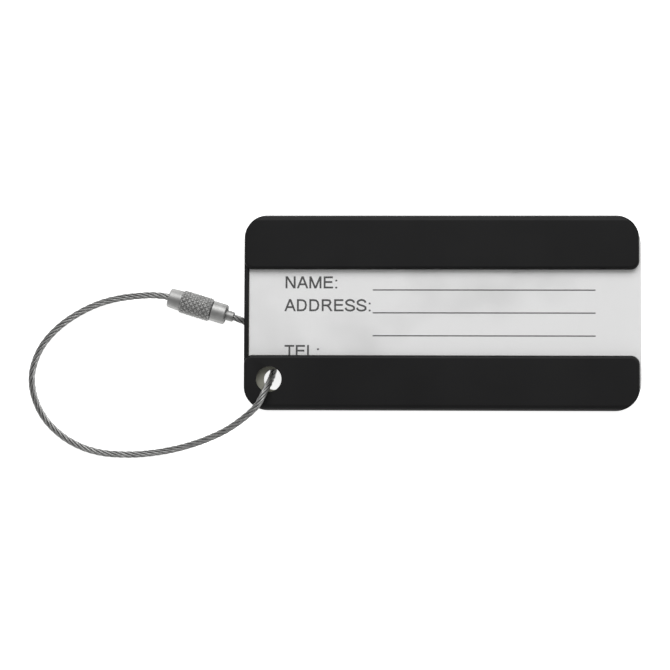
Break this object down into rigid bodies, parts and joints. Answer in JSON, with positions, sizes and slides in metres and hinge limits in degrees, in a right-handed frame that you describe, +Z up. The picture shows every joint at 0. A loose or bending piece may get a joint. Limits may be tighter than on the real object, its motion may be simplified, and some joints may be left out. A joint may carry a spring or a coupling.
{
  "type": "luggage tag",
  "caption": "Slim folded metal case that holds a name card behind a clear window, on a twisted steel cable loop closed by a knurled screw clasp.",
  "frame": {"origin": "on the table under the centre of the case, which lies face up; the cable is not counted", "axes": "+X along the case towards its open end, +Y towards the top of the card, +Z up from the table"},
  "size_m": [0.1254, 0.0495, 0.0077],
  "materials": {
    "case_metal": "black anodised, satin",
    "card_paper": "uncoated paper, matt",
    "window_plastic": "clear, gloss",
    "clasp_steel": "nickel plated, satin",
    "ferrule_steel": "plain, drawn",
    "cable_steel": "bright stranded wire"
  },
  "bodies": {
    "case": {"shell": "case_metal"},
    "card": {"card": "card_paper"},
    "window": {"window": "window_plastic"},
    "loop": {"cable": "cable_steel", "threaded_sleeve": "clasp_steel", "crimp_ferrule": "ferrule_steel"},
    "cable_end": {"stop_ferrule": "ferrule_steel"},
    "nut": {"knurled_nut": "clasp_steel"}
  },
  "joints": [
    {"name": "card_slide", "type": "slide", "parent": "case", "child": "card", "axis": [0.9996, 0, -0.0275], "range_m": [0, 0.04]},
    {"name": "window_slide", "type": "slide", "parent": "case", "child": "window", "axis": [0.9996, 0, -0.0275], "range_m": [0, 0.04]},
    {"name": "loop_swing", "type": "hinge", "parent": "case", "child": "loop", "pos_m": [-0.03432, -0.01347, 0.002], "axis": [0, 0, 1], "range_deg": [0, 60]},
    {"name": "nut_travel", "type": "slide", "parent": "loop", "child": "cable_end", "axis": [-0.9558, 0.294, 0], "range_m": [0, 0.002]},
    {"name": "nut_turn", "type": "hinge", "parent": "cable_end", "child": "nut", "pos_m": [-0.05547, 0.00322, 0.00242], "axis": [-0.9558, 0.294, 0], "range_deg": [0, 1441]}
  ],
  "couplings": [
    {"joint": "nut_turn", "follows": "nut_travel", "rad_per_m": 12566}
  ]
}
